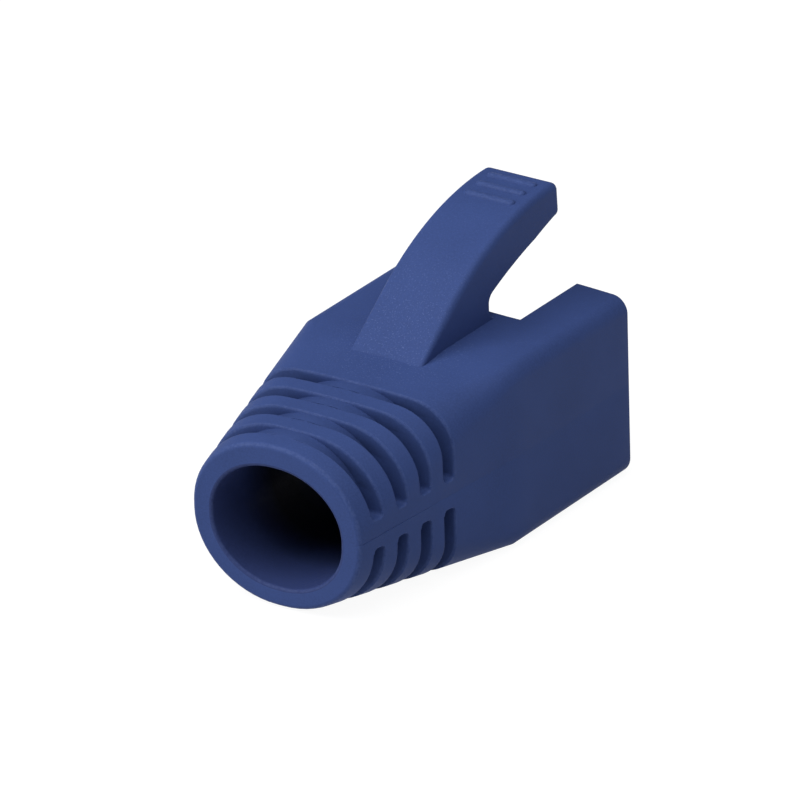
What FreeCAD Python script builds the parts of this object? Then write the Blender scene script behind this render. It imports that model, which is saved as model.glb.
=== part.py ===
# Strain relief boot for an RJ45 plug, moulded in one piece from soft plastic.
# A rectangular sleeve takes the back of the plug, a ribbed collar tapers down to
# an oval mouth for the cable, and a springy tongue rises over the latch notch.
#
# Frame: X across, Y from the cable mouth to the plug end, Z up.
# The origin is the middle of the boot's box, at the height of its flat floor.

import FreeCAD, Part
import math
import os

import Sketcher

Vector = FreeCAD.Vector

# Driving sizes in millimetres, angles in degrees
SIZES = [
    ("plug_width", 11.7, "width of the plug body"),
    ("plug_height", 8.3, "height of the plug body"),
    ("plug_fit", 0.1, "clearance round the plug, each side"),
    ("side_wall", 1.05, "sleeve wall at the sides"),
    ("floor_wall", 1.05, "sleeve wall under the plug"),
    ("roof_wall", 1.35, "sleeve wall over the plug"),
    ("corner_radius", 1.0, "outer corners of the sleeve"),
    ("roof_crown", 0.18, "rise of the roof between its corners"),
    ("socket_corner", 0.45, "inner corners of the socket"),
    ("sleeve_length", 11.24, "straight part that takes the plug"),
    ("sleeve_rounding", 0.15, "rim of the plug end"),
    ("taper_length", 13.0, "from the mouth to the sleeve"),
    ("shoulder", 0.6, "step that stops the plug"),
    ("mouth_width", 11.0, "outside of the mouth, before its rim is rounded"),
    ("mouth_height", 9.53, "outside of the mouth, before its rim is rounded"),
    ("mouth_rise", 0.13, "how far the collar's floor rises to the mouth"),
    ("mouth_flat", 0.15, "half of each straight side left in an oval"),
    ("mouth_rounding", 0.2, "outer rim of the mouth"),
    ("bore_width", 8.42, "cable bore across"),
    ("bore_height", 7.02, "cable bore up and down"),
    ("bore_floor", 1.29, "height of the bore's lowest line"),
    ("bore_length", 2.8, "straight bore before it widens"),
    ("bore_rounding", 0.2, "inner rim of the mouth"),
    ("funnel_corner", 2.6, "corners of the funnel where it meets the shoulder"),
    ("groove_count", 4, "grooves that let the collar bend"),
    ("groove_start", 1.2, "from the mouth to the first groove"),
    ("groove_width", 0.85, "width of a groove"),
    ("groove_pitch", 1.92, "from groove to groove"),
    ("groove_depth", 0.9, "depth of a groove at the sides"),
    ("groove_shallow", 0.11, "depth of a groove at top and bottom"),
    ("rib_rounding", 0.12, "edges of the ribs"),
    ("spine_height", 1.73, "plain band between the groove ends"),
    ("spine_low", 5.2, "height of the band's middle at the mouth"),
    ("spine_high", 5.42, "height of the band's middle at the sleeve"),
    ("spine_proud", 0.005, "how far the band stands out of the ribs"),
    ("notch_width", 7.28, "latch notch in the roof"),
    ("notch_length", 5.7, "latch notch, from the plug end"),
    ("tongue_width", 4.76, "width of the latch guard tongue"),
    ("tongue_rise", 5.63, "top of the tongue above the roof"),
    ("tongue_reach", 0.27, "top edge of the tip, past the plug end"),
    ("tongue_radius", 17.2, "upper curve of the tongue"),
    ("tongue_slope", 38.2, "slope of its straight lower stretch"),
    ("tip_flat", 0.33, "level stretch at the tip"),
    ("tip_thickness", 1.97, "thickness at the tip"),
    ("tip_lean", 0.12, "how far the tip's lower edge stands forward"),
    ("under_radius", 27.4, "lower curve of the tongue"),
    ("under_centre", 4.8, "centre of the lower curve, past the tip"),
    ("web_setback", 1.09, "from the notch to the back of the tongue's web"),
    ("throat_radius", 0.65, "hollow under the tongue, at the web"),
    ("flare_radius", 0.7, "foot of the web on the roof"),
    ("foot_sink", 0.05, "foot of the web, below the roof's crown"),
    ("tongue_rounding", 0.32, "long edges and tip of the tongue"),
    ("root_depth", 0.8, "depth of the tongue's root under the roof"),
    ("bar_count", 3, "grip bars across the tongue"),
    ("bar_length", 3.3, "length of a grip bar"),
    ("bar_start", 1.1, "from the tip to the first bar, along the curve"),
    ("bar_pitch", 1.1, "from bar to bar, along the curve"),
    ("bar_radius", 0.32, "radius of a bar"),
    ("bar_height", 0.16, "how far a bar stands up"),
]

# Cutting solids run past the face that they open by this much
OVERRUN = 1.0

# Solids that are joined reach this far into each other
OVERLAP = 0.4

# Lengths that differ by less than this count as equal
CLOSE = 1e-6

# A rim rounded by less than this is lofted in one step, a larger one in two
FINE_RIM = 0.14

# A long taper is lofted in even steps, each no longer than this
TAPER_STEP = 1.0

doc = FreeCAD.newDocument("boot")

sheet = doc.addObject("Spreadsheet::Sheet", "Sizes")
for row, (alias, value, meaning) in enumerate(SIZES, start=1):
    sheet.set(f"A{row}", meaning)
    sheet.set(f"B{row}", str(value))
    sheet.setAlias(f"B{row}", alias)
doc.recompute()


def size(alias):
    """The number in the sheet under this alias."""
    return float(sheet.get(alias))


# Places that follow from the driving sizes, as expressions of the sheet
BODY_LENGTH = "(Sizes.taper_length + Sizes.sleeve_length)"
MOUTH_Y = f"(-({BODY_LENGTH} + Sizes.tongue_reach + Sizes.tip_lean) / 2)"
BODY_HEIGHT = "(Sizes.floor_wall + Sizes.plug_height + 2 * Sizes.plug_fit + Sizes.roof_wall)"
PLUG_END_Y = f"({MOUTH_Y} + {BODY_LENGTH})"
WEB_Y = f"({PLUG_END_Y} - Sizes.notch_length - Sizes.web_setback)"
TIP_Y = f"({PLUG_END_Y} + Sizes.tongue_reach)"
TOP_Z = f"({BODY_HEIGHT} + Sizes.tongue_rise)"

# The same places as numbers, for the outlines that are worked out in code
body_length = size("taper_length") + size("sleeve_length")
mouth_y = -(body_length + size("tongue_reach") + size("tip_lean")) / 2
socket_half = size("plug_width") / 2 + size("plug_fit")
socket_height = size("plug_height") + 2 * size("plug_fit")
body_half = socket_half + size("side_wall")
body_height = size("floor_wall") + socket_height + size("roof_wall")
crown_slope = 2 * math.atan(size("roof_crown") / body_half)


# Outlines across the boot, and the lofts through them


def corner_edge(side_x, side_z, centre, round_x, round_z, turn):
    """An elliptic corner that starts at the side wall and turns by an angle."""
    x_end = centre + Vector(side_x * round_x, 0, 0)
    z_end = centre + Vector(0, 0, side_z * round_z)
    quarter = math.pi / 2
    if abs(round_x - round_z) < CLOSE:
        halfway, last = (centre + Vector(side_x * round_x * math.cos(angle), 0,
                                         side_z * round_z * math.sin(angle))
                         for angle in (turn / 2, turn))
        return Part.Arc(x_end, halfway, last).toShape()
    if round_x > round_z:
        return Part.ArcOfEllipse(Part.Ellipse(x_end, z_end, centre), 0, turn).toShape()
    ellipse = Part.Ellipse(z_end, x_end, centre)
    return Part.ArcOfEllipse(ellipse, quarter - turn, quarter).toShape()


def outline(y, half, low, high, round_x, round_z, slope=0.0):
    """A closed outline across the boot: four sides with four elliptic corners.

    Every outline has the same eight edges, so that any two loft into straight
    strips. The upper side is a shallow arc where a slope at its ends is given.
    """
    across = half - round_x
    turn = math.pi / 2 - slope
    end_x = across + round_x * math.cos(turn)
    sag = end_x * math.tan(slope / 2)
    lower = low + round_z
    upper = high - sag - round_z * math.sin(turn)
    right_low = Vector(half, y, lower)
    right_high = Vector(half, y, upper)
    left_high = Vector(-half, y, upper)
    left_low = Vector(-half, y, lower)
    top_right = Vector(end_x, y, high - sag)
    top_left = Vector(-end_x, y, high - sag)
    if slope:
        top = Part.Arc(top_right, Vector(0, y, high), top_left).toShape()
    else:
        top = Part.LineSegment(top_right, top_left).toShape()
    bottom = Part.LineSegment(Vector(-across, y, low), Vector(across, y, low)).toShape()
    quarter = math.pi / 2
    return Part.Wire([
        Part.LineSegment(right_low, right_high).toShape(),
        corner_edge(1, 1, Vector(across, y, upper), round_x, round_z, turn),
        top,
        corner_edge(-1, 1, Vector(-across, y, upper), round_x, round_z, turn),
        Part.LineSegment(left_high, left_low).toShape(),
        corner_edge(-1, -1, Vector(-across, y, lower), round_x, round_z, quarter),
        bottom,
        corner_edge(1, -1, Vector(across, y, lower), round_x, round_z, quarter),
    ])


def outer_outline(station, inset=0.0):
    """The boot's outer outline at a distance from the mouth, drawn in by an inset."""
    share = min(station / size("taper_length"), 1.0)

    def blend(at_mouth, at_sleeve):
        return at_mouth + (at_sleeve - at_mouth) * share
    half = blend(size("mouth_width") / 2, body_half)
    low = blend(size("mouth_rise"), 0.0)
    high = blend(size("mouth_rise") + size("mouth_height"), body_height)
    round_x = blend(size("mouth_width") / 2 - size("mouth_flat"), size("corner_radius"))
    round_z = blend(size("mouth_height") / 2 - size("mouth_flat"), size("corner_radius"))
    return outline(mouth_y + station, half - inset, low + inset, high - inset,
                   round_x - inset, round_z - inset, crown_slope)


def floor_outline(station):
    """The outline of the groove floors: deep at the sides, shallow top and bottom."""
    share = station / size("taper_length")
    half = size("mouth_width") / 2 + (body_half - size("mouth_width") / 2) * share
    low = size("mouth_rise") * (1 - share)
    high = low + size("mouth_height") + (body_height - size("mouth_height")) * share
    half -= size("groove_depth")
    low += size("groove_shallow")
    high -= size("groove_shallow")
    return outline(mouth_y + station, half, low, high,
                   half - size("mouth_flat"), (high - low) / 2 - size("mouth_flat"))


def lofted(name, wires):
    """A solid with straight strips from each outline to the next."""
    sections = []
    for number, wire in enumerate(wires):
        section = doc.addObject("Part::Feature", f"{name}_outline_{number}")
        section.Shape = wire
        sections.append(section)
    solid = doc.addObject("Part::Loft", name)
    solid.Sections = sections
    solid.Solid = True
    solid.Ruled = True
    return solid


def taper_stations(start, end):
    """Even steps from one station to another, both of them included."""
    count = math.ceil((end - start) / TAPER_STEP)
    return [start + (end - start) * number / count for number in range(count + 1)]


def rounding(radius):
    """Steps over a rounded rim: how far along the boot, and how far drawn in."""
    flats = 1 if radius < FINE_RIM else 2
    angles = [math.pi / 2 * number / flats for number in range(flats + 1)]
    return [(radius * (1 - math.cos(angle)), radius * (1 - math.sin(angle)))
            for angle in angles]


def rounded_block(name, start, end, start_radius, end_radius, between=()):
    """Part of the outer form between two stations, with its end rims rounded."""
    steps = [(start + along, inset) for along, inset in rounding(start_radius)]
    steps += [(station, 0.0) for station in between]
    steps += [(end - along, inset) for along, inset in reversed(rounding(end_radius))]
    return lofted(name, [outer_outline(station, inset) for station, inset in steps])


# Collar and sleeve: rings on a common core, joined at both sides by a plain band

groove_count = int(size("groove_count"))
groove_fronts = [size("groove_start") + size("groove_pitch") * number
                 for number in range(groove_count)]
groove_backs = [front + size("groove_width") for front in groove_fronts]
rib_radius = size("rib_rounding")

blocks = [rounded_block("mouth_ring", 0, groove_fronts[0],
                        size("mouth_rounding"), rib_radius)]
for number in range(1, groove_count):
    blocks.append(rounded_block(f"rib_{number}", groove_backs[number - 1],
                                groove_fronts[number], rib_radius, rib_radius))
blocks.append(rounded_block("sleeve", groove_backs[-1], body_length,
                            rib_radius, size("sleeve_rounding"),
                            between=taper_stations(groove_backs[-1], size("taper_length"))[1:]))

core_start = groove_fronts[0] - OVERLAP
core_end = groove_backs[-1] + OVERLAP
core = lofted("collar_core", [floor_outline(core_start), floor_outline(core_end)])

band_form = lofted("band_form", [outer_outline(core_start, -size("spine_proud")),
                                 outer_outline(core_end, -size("spine_proud"))])
band_slab = doc.addObject("Part::Box", "band_slab")
band_slope = math.atan2(size("spine_high") - size("spine_low"), size("taper_length"))
band_slab.Placement.Rotation = FreeCAD.Rotation(Vector(1, 0, 0), math.degrees(band_slope))
band_slab.setExpression("Length", "2 * Sizes.mouth_width")
band_slab.setExpression("Width", BODY_LENGTH)
band_slab.setExpression("Height", "Sizes.spine_height")
band_slab.setExpression("Placement.Base.x", "-Sizes.mouth_width")
band_slab.setExpression("Placement.Base.y", MOUTH_Y)
band_slab.setExpression("Placement.Base.z", "Sizes.spine_low - Sizes.spine_height / 2")
band = doc.addObject("Part::Common", "side_bands")
band.Base = band_form
band.Tool = band_slab


# Tongue: a side profile padded across the boot, then its long edges rounded

tongue = doc.addObject("PartDesign::Body", "tongue")
side_plane = next(feature for feature in tongue.Origin.OriginFeatures
                  if feature.Role == "YZ_Plane")
profile = tongue.newObject("Sketcher::SketchObject", "tongue_profile")
profile.AttachmentSupport = [(side_plane, "")]
profile.MapMode = "FlatFace"

# The profile's corners, worked out so that the sketch starts at its solution
upper_radius = size("tongue_radius")
lower_radius = size("under_radius")
throat_radius = size("throat_radius")
flare_radius = size("flare_radius")
tilt = math.radians(size("tongue_slope"))
web_y = mouth_y + body_length - size("notch_length") - size("web_setback")
foot_z = body_height - size("foot_sink")
root_z = body_height - size("root_depth")

tip_top = Vector(mouth_y + body_length + size("tongue_reach"),
                 body_height + size("tongue_rise"))
tip_low = tip_top + Vector(size("tip_lean"), -size("tip_thickness"))
crest = tip_top - Vector(size("tip_flat"), 0)
upper_centre = crest - Vector(0, upper_radius)
slope_top = upper_centre + Vector(-math.sin(tilt), math.cos(tilt)) * upper_radius
root_front = Vector(slope_top.x - (slope_top.y - root_z) / math.tan(tilt), root_z)

lower_x = tip_top.x + size("under_centre")
lower_drop = math.sqrt(lower_radius ** 2 - (lower_x - tip_low.x) ** 2)
lower_centre = Vector(lower_x, tip_low.y - lower_drop)
throat_x = web_y + throat_radius
throat_rise = math.sqrt((lower_radius - throat_radius) ** 2 - (lower_x - throat_x) ** 2)
throat_centre = Vector(throat_x, lower_centre.y + throat_rise)
outward = (throat_centre - lower_centre).normalize()
throat_top = lower_centre + outward * lower_radius
throat_low = Vector(web_y, throat_centre.y)
flare_centre = Vector(web_y + flare_radius, foot_z + flare_radius)
flare_top = Vector(web_y, flare_centre.y)
flare_end = Vector(flare_centre.x, foot_z)
root_back = Vector(flare_centre.x, root_z)


def straight(start, end):
    """Draws a straight stretch of the profile."""
    return profile.addGeometry(Part.LineSegment(start, end), False)


def curve(centre, start, end):
    """Draws an arc of the profile, anticlockwise from its start to its end."""
    first, last = (math.atan2(point.y - centre.y, point.x - centre.x)
                   for point in (start, end))
    if last < first:
        last += 2 * math.pi
    circle = Part.Circle(centre, Vector(0, 0, 1), (start - centre).Length)
    return profile.addGeometry(Part.ArcOfCircle(circle, first, last), False)


slope_line = straight(root_front, slope_top)
upper_arc = curve(upper_centre, crest, slope_top)
tip_line = straight(crest, tip_top)
end_line = straight(tip_top, tip_low)
lower_arc = curve(lower_centre, tip_low, throat_top)
throat_arc = curve(throat_centre, throat_top, throat_low)
web_line = straight(throat_low, flare_top)
flare_arc = curve(flare_centre, flare_top, flare_end)
back_line = straight(flare_end, root_back)
root_line = straight(root_back, root_front)

# Point numbers of a sketch: start, end and centre, and the sketch's own origin
START, END, CENTRE = 1, 2, 3
ORIGIN = (-1, 1)


def hold(kind, *points):
    """Adds a geometric constraint to the profile."""
    profile.addConstraint(Sketcher.Constraint(kind, *points))


def measure(name, kind, *points, ties):
    """Adds a dimension to the profile and ties it to the sheet."""
    number = profile.addConstraint(Sketcher.Constraint(kind, *points))
    profile.renameConstraint(number, name)
    profile.setExpression(f"Constraints.{name}", ties)


hold("Tangent", slope_line, END, upper_arc, END)
hold("Tangent", upper_arc, START, tip_line, START)
hold("Coincident", tip_line, END, end_line, START)
hold("Coincident", end_line, END, lower_arc, START)
hold("Tangent", lower_arc, END, throat_arc, START)
hold("Tangent", throat_arc, END, web_line, START)
hold("Tangent", web_line, END, flare_arc, START)
hold("Coincident", flare_arc, END, back_line, START)
hold("Coincident", back_line, END, root_line, START)
hold("Coincident", root_line, END, slope_line, START)
hold("Horizontal", tip_line)
hold("Vertical", web_line)
hold("Vertical", back_line)
hold("Horizontal", root_line)
hold("Vertical", flare_arc, CENTRE, flare_arc, END)

measure("slope", "Angle", slope_line, tilt, ties="Sizes.tongue_slope * 1 deg")
measure("upper_curve", "Radius", upper_arc, upper_radius, ties="Sizes.tongue_radius")
measure("lower_curve", "Radius", lower_arc, lower_radius, ties="Sizes.under_radius")
measure("throat", "Radius", throat_arc, throat_radius, ties="Sizes.throat_radius")
measure("flare", "Radius", flare_arc, flare_radius, ties="Sizes.flare_radius")
measure("flat", "DistanceX", tip_line, START, tip_line, END,
        size("tip_flat"), ties="Sizes.tip_flat")
measure("tip_place", "DistanceX", *ORIGIN, tip_line, END, tip_top.x, ties=TIP_Y)
measure("tip_top", "DistanceY", *ORIGIN, tip_line, END, tip_top.y, ties=TOP_Z)
measure("lean", "DistanceX", end_line, START, end_line, END,
        size("tip_lean"), ties="Sizes.tip_lean")
measure("thickness", "DistanceY", end_line, END, end_line, START,
        size("tip_thickness"), ties="Sizes.tip_thickness")
measure("lower_place", "DistanceX", tip_line, END, lower_arc, CENTRE,
        size("under_centre"), ties="Sizes.under_centre")
measure("web_place", "DistanceX", *ORIGIN, web_line, END, web_y, ties=WEB_Y)
measure("foot", "DistanceY", *ORIGIN, flare_arc, END, foot_z,
        ties=f"{BODY_HEIGHT} - Sizes.foot_sink")
measure("root", "DistanceY", *ORIGIN, root_line, END, root_z,
        ties=f"{BODY_HEIGHT} - Sizes.root_depth")

pad = tongue.newObject("PartDesign::Pad", "tongue_pad")
pad.Profile = profile
pad.SideType = "Symmetric"
pad.setExpression("Length", "Sizes.tongue_width")
doc.recompute()


def is_soft_edge(edge):
    """Tells the long upper edges and the four edges of the tip from the rest."""
    box = edge.BoundBox
    long_edge = box.XLength < CLOSE and box.YLength > CLOSE and box.ZMax > body_height
    upper = box.YMax > web_y and long_edge and edge.CenterOfMass.z > throat_top.y
    lower_curve = long_edge and abs(box.ZMax - tip_low.y) < CLOSE
    slope_edge = long_edge and abs(box.ZMax - slope_top.y) < CLOSE
    at_tip = box.YMin > crest.x + CLOSE
    return (upper and not lower_curve) or slope_edge or at_tip


fillet = tongue.newObject("PartDesign::Fillet", "tongue_rounding")
fillet.Base = (pad, [f"Edge{number}" for number, edge in enumerate(pad.Shape.Edges, start=1)
                     if is_soft_edge(edge)])
fillet.setExpression("Radius", "Sizes.tongue_rounding")
tongue.Tip = fillet
doc.recompute()


# Grip bars: half-sunk rods across the tongue, stepped round its upper curve

bars = []
for number in range(int(size("bar_count"))):
    along = f"(Sizes.bar_start + {number} * Sizes.bar_pitch - Sizes.tip_flat)"
    turn = f"({along} / Sizes.tongue_radius * 1 rad)"
    reach = "(Sizes.tongue_radius + Sizes.bar_height - Sizes.bar_radius)"
    bar = doc.addObject("Part::Cylinder", f"grip_bar_{number + 1}")
    bar.setExpression("Radius", "Sizes.bar_radius")
    bar.setExpression("Height", "Sizes.bar_length")
    bar.Placement.Rotation = FreeCAD.Rotation(Vector(0, 1, 0), 90)
    bar.setExpression("Placement.Base.x", "-Sizes.bar_length / 2")
    bar.setExpression("Placement.Base.y",
                      f"{TIP_Y} - Sizes.tip_flat - {reach} * sin({turn})")
    bar.setExpression("Placement.Base.z",
                      f"{TOP_Z} - Sizes.tongue_radius + {reach} * cos({turn})")
    bars.append(bar)


# Inside: bore, funnel and plug socket, and the latch notch through the roof

bore_half = size("bore_width") / 2
bore_low = size("bore_floor")
bore_high = bore_low + size("bore_height")
bore_round_x = bore_half - size("mouth_flat")
bore_round_z = size("bore_height") / 2 - size("mouth_flat")
bore_radius = size("bore_rounding")
funnel_end = size("taper_length") + OVERLAP


def bore_outline(station, outset=0.0):
    """The oval bore at a distance from the mouth, widened by an outset."""
    return outline(mouth_y + station, bore_half + outset, bore_low - outset,
                   bore_high + outset, bore_round_x + outset, bore_round_z + outset)


def socket_outline(station):
    """The plug socket's outline at a distance from the mouth."""
    low = size("floor_wall")
    return outline(mouth_y + station, socket_half, low, low + socket_height,
                   size("socket_corner"), size("socket_corner"))


def funnel_outline(station):
    """The funnel's outline, on its way from the bore to the shoulder."""
    share = (station - size("bore_length")) / (funnel_end - size("bore_length"))

    def blend(at_bore, at_shoulder):
        return at_bore + (at_shoulder - at_bore) * share
    low = size("floor_wall")
    return outline(mouth_y + station,
                   blend(bore_half, socket_half - size("shoulder")),
                   blend(bore_low, low + size("shoulder")),
                   blend(bore_high, low + socket_height - size("shoulder")),
                   blend(bore_round_x, size("funnel_corner")),
                   blend(bore_round_z, size("funnel_corner")))


rim_steps = [bore_outline(along, outset) for along, outset in rounding(bore_radius)]
passage = lofted("cable_passage", [bore_outline(-OVERRUN, bore_radius)] + rim_steps
                 + [funnel_outline(station)
                    for station in taper_stations(size("bore_length"), funnel_end)])
socket = lofted("plug_socket", [socket_outline(station)
                                for station in (size("taper_length"), body_length + OVERRUN)])

notch = doc.addObject("Part::Box", "latch_notch")
notch.setExpression("Length", "Sizes.notch_width")
notch.setExpression("Width", f"Sizes.notch_length + {OVERRUN}")
notch.setExpression("Height", f"Sizes.roof_wall + {OVERRUN}")
notch.setExpression("Placement.Base.x", "-Sizes.notch_width / 2")
notch.setExpression("Placement.Base.y", f"{PLUG_END_Y} - Sizes.notch_length")
notch.setExpression("Placement.Base.z", f"{BODY_HEIGHT} - Sizes.roof_wall - {OVERRUN / 2}")


# The moulding: everything joined, then hollowed

solid_form = doc.addObject("Part::MultiFuse", "solid_form")
solid_form.Shapes = blocks + [core, band, tongue] + bars
hollows = doc.addObject("Part::MultiFuse", "hollows")
hollows.Shapes = [passage, socket, notch]
boot = doc.addObject("Part::Cut", "boot")
boot.Base = solid_form
boot.Tool = hollows
boot.Label = "boot"
doc.recompute()

for thing in doc.Objects:
    if "Invalid" in thing.State or "Error" in thing.State:
        raise RuntimeError(f"{thing.Name} did not compute: {thing.State}")
for thing in [profile, pad, fillet, boot]:
    if thing.Shape.isNull() or not thing.Shape.isValid():
        raise RuntimeError(f"{thing.Name} has no sound shape")
if len(boot.Shape.Solids) != 1:
    raise RuntimeError(f"the boot is {len(boot.Shape.Solids)} solids, and it is one moulding")

os.makedirs("parts", exist_ok=True)
boot.Shape.exportStep(f"parts/{boot.Label}.step")
print(boot.Label, "volume", round(boot.Shape.Volume, 2), "box", boot.Shape.BoundBox)
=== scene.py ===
import logging
import math
from dataclasses import dataclass, field
from enum import Enum

import bmesh
import bpy
from bpy.types import Material, Mesh, MeshPolygon, Node, NodeSocket, NodeTree, Object
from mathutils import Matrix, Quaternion, Vector
from mathutils.bvhtree import BVHTree
from mathutils.interpolate import poly_3d_calc

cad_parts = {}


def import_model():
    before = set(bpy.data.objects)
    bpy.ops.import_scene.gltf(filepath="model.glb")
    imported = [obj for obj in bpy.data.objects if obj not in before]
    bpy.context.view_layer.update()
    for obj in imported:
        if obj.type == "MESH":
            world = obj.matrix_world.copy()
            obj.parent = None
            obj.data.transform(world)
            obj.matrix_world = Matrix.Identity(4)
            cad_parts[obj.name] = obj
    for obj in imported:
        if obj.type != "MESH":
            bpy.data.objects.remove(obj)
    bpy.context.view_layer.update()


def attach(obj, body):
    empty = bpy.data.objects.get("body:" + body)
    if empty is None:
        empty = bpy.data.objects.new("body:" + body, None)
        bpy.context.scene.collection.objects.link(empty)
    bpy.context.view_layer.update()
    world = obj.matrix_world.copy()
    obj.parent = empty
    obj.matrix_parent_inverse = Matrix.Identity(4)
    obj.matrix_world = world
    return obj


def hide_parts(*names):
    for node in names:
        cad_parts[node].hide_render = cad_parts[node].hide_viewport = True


LOG = logging.getLogger("boot")

Pair = tuple[float, float]
Colour = tuple[float, float, float, float]

# Forms are made and joined in millimetres, and the finished piece becomes metres
MM = 0.001

# The boot's frame: X across, Y from the cable mouth to the plug end, Z up
MOUTH_Y = -12.315

# Dust gathers round this point at the foot of the tongue's slope
DUST_MIDDLE = (0.0, 0.0, 12.0)

# Points nearer to each other than this, in millimetres, are one point
TOUCHING = 3e-4

# Shares of rim wear with painted highlight, and of painted shade in the grooves, at each point,
# kept with the mesh
RIM_WEAR_AND_HIGHLIGHT = "rim_wear_and_highlight"
PAINTED_GROOVE_SHADE = "groove_painted_shade"

# Corners nearer to the uncut skin than this take its normals, looked up a nudge inward
ON_SKIN = 0.003
NUDGE = 0.01


def mix(start: float, end: float, share: float) -> float:
    """Returns the value a share of the way from start to end."""
    return start + (end - start) * share


def steps(start: float, end: float, count: int) -> list[float]:
    """Returns evenly spaced values from start to end, both included."""
    return [mix(start, end, number / count) for number in range(count + 1)]


def mirrored(points: list[Pair]) -> list[Pair]:
    """Returns points in the opposite order, on the boot's other side."""
    return [(-x, z) for x, z in reversed(points)]


# Meshes


@dataclass(frozen=True)
class Outline:
    """A closed outline across the boot: flat sides, elliptic corners and a crowned top.

    The parting line is a fine V-groove along both sides of the outline.
    """

    half: float
    low: float
    high: float
    round_x: float
    round_z: float
    slope: float = 0.0
    seam_z: float = 5.0
    seam_depth: float = 0.0
    seam_reach: float = 0.04
    corner_steps: int = 16
    crown_steps: int = 12

    @property
    def across(self) -> float:
        """Half of the straight bottom side."""
        return self.half - self.round_x

    @property
    def turn(self) -> float:
        """Angle that an upper corner turns by."""
        return math.pi / 2 - self.slope

    @property
    def crown_end(self) -> Pair:
        """Right end of the crowned top, as x and z."""
        end_x = self.across + self.round_x * math.cos(self.turn)
        return end_x, self.high - end_x * math.tan(self.slope / 2)

    @property
    def lower(self) -> float:
        """Height of the lower corners' centres."""
        return self.low + self.round_z

    @property
    def upper(self) -> float:
        """Height of the upper corners' centres."""
        return self.crown_end[1] - self.round_z * math.sin(self.turn)

    def width_at(self, height: float) -> float:
        """Returns how far the right side stands out at a height."""
        past = max(self.lower - height, height - self.upper, 0.0) / self.round_z
        return self.across + self.round_x * math.sqrt(max(0.0, 1 - past * past))

    def corner(self, start: float, end: float, centre_z: float) -> list[Pair]:
        """Returns the points of a right-hand corner between two angles, both included."""
        return [(self.across + self.round_x * math.cos(angle),
                 centre_z + self.round_z * math.sin(angle))
                for angle in steps(start, end, self.corner_steps)]

    def crown(self) -> list[Pair]:
        """Works out the crowned top.

        Returns:
            Its points from right to left, without its ends.
        """
        end_x, end_z = self.crown_end
        sag = self.high - end_z
        return [(-end_x * share, self.high - sag * share * share)
                for share in steps(-1, 1, self.crown_steps)[1:-1]]

    def right_side(self) -> list[Pair]:
        """Works out the right side, with the parting line.

        Returns:
            Its points from the bottom to the crown.
        """
        seam_low, seam_high = self.seam_z - self.seam_reach, self.seam_z + self.seam_reach
        flat_low = min(self.lower, seam_low - self.seam_reach)
        flat_high = max(self.upper, seam_high + self.seam_reach)
        side = [(self.width_at(height), height) for height in (flat_low, seam_low)]
        side.append((self.width_at(self.seam_z) - self.seam_depth, self.seam_z))
        side += [(self.width_at(height), height) for height in (seam_high, flat_high)]
        return (self.corner(-math.pi / 2, 0, self.lower)[:-1] + side
                + self.corner(0, self.turn, self.upper)[1:])

    def ring(self, y: float) -> list[Vector]:
        """Returns the whole outline at a place along the boot."""
        right = self.right_side()
        return [Vector((x, y, z)) for x, z in right + self.crown() + mirrored(right)]

    def part(self, height: float, over: bool) -> list[Pair]:
        """Works out the part of the outline over or under a height.

        Args:
            height: The height where it starts and ends.
            over: Whether it is the part over the height.

        Returns:
            Its points from the right side to the left.
        """
        centre, turn = (self.upper, self.turn) if over else (self.lower, -math.pi / 2)
        past = max(0.0, height - centre if over else centre - height)
        start = math.copysign(math.asin(min(1.0, past / self.round_z)), turn)
        right = [(self.width_at(height), height)] + self.corner(start, turn, centre)
        return right + (self.crown() if over else []) + mirrored(right)


def add_object(name: str, data: object) -> Object:
    """Makes an object of its data and links it to the scene."""
    thing = bpy.data.objects.new(name, data)
    bpy.context.scene.collection.objects.link(thing)
    return thing


def loft(name: str, rings: list[list[Vector]]) -> Object:
    """Makes a closed mesh through rings of equally many points, in millimetres.

    Args:
        name: Name of the new object.
        rings: Rings in order, each a list of its points.

    Returns:
        The object, linked to the scene.
    """
    mesh = bmesh.new()
    levels = [[mesh.verts.new(point) for point in ring] for ring in rings]
    count = len(rings[0])
    for near, far in zip(levels, levels[1:]):
        for number in range(count):
            after = (number + 1) % count
            mesh.faces.new((near[number], near[after], far[after], far[number]))
    mesh.faces.new(reversed(levels[0]))
    mesh.faces.new(levels[-1])
    bmesh.ops.remove_doubles(mesh, verts=mesh.verts, dist=TOUCHING)
    return finished(name, mesh)


def finished(name: str, mesh: bmesh.types.BMesh) -> Object:
    """Turns a working mesh into an object with its faces outward.

    Args:
        name: Name of the new object.
        mesh: The working mesh, freed here.

    Returns:
        The object, linked to the scene.
    """
    bmesh.ops.recalc_face_normals(mesh, faces=mesh.faces)
    data = bpy.data.meshes.new(name)
    mesh.to_mesh(data)
    mesh.free()
    return add_object(name, data)


def rounding(radius: float, count: int = 5) -> list[Pair]:
    """Returns steps over a rounded rim: how far along, and how far drawn in."""
    return [(radius * (1 - math.cos(angle)), radius * (1 - math.sin(angle)))
            for angle in steps(0, math.pi / 2, count)]


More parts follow.
